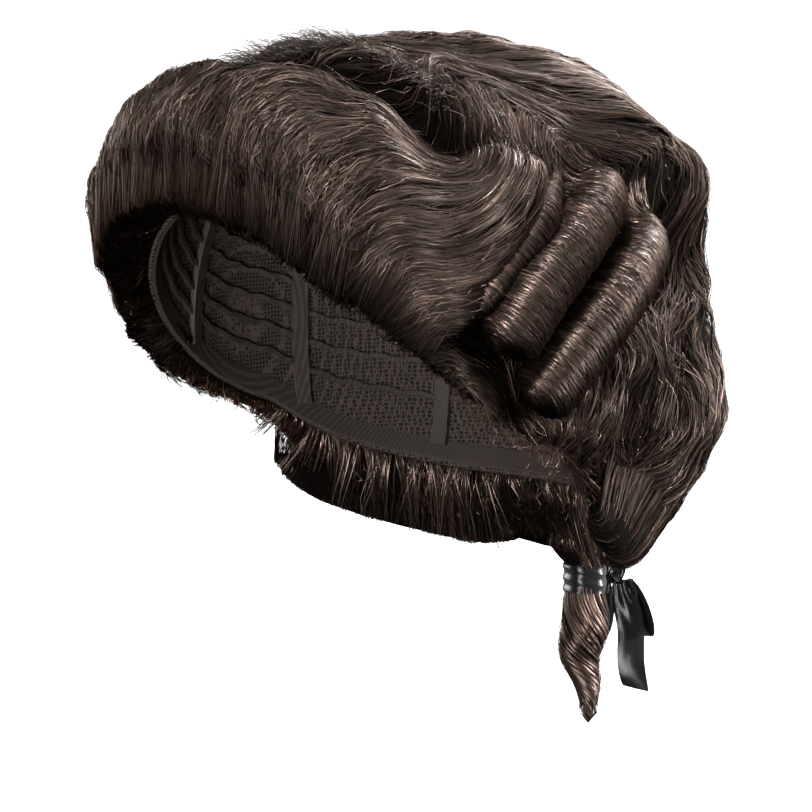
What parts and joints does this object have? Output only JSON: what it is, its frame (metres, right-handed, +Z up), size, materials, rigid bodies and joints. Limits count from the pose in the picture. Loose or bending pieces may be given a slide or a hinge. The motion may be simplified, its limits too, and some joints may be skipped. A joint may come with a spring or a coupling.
{
  "type": "curled queue wig",
  "caption": "Dark brown curled wig with a full front roll, slanted side curls, a waved back and a short queue tied with a black ribbon, on a net cap open below.",
  "frame": {"origin": "inside of the cap's crown, where it sits on the top of the wearer's head", "axes": "+Z up, -Y the way the wearer faces, +X the wearer's left; left and right in names are the wearer's"},
  "size_m": [0.2162, 0.2439, 0.276],
  "materials": {
    "cap_net": "dark brown stretch net and sewn wefts",
    "hair": "satin dark brown hair fibre",
    "ribbon": "black satin ribbon"
  },
  "bodies": {
    "root": {"cap": "cap_net", "crown_hair": "hair", "front_roll": "hair", "side_wave_left": "hair", "side_wave_right": "hair", "side_hair_left": "hair", "side_hair_right": "hair", "upper_curl_left": "hair", "upper_curl_right": "hair", "lower_curl_left": "hair", "lower_curl_right": "hair", "back_hair": "hair", "nape_curl_left": "hair", "nape_curl_right": "hair", "queue": "hair", "ribbon_band": "ribbon", "bow_knot": "ribbon", "bow_loop_left": "ribbon", "bow_loop_right": "ribbon", "ribbon_tail_left": "ribbon", "ribbon_tail_right": "ribbon"}
  },
  "joints": []
}
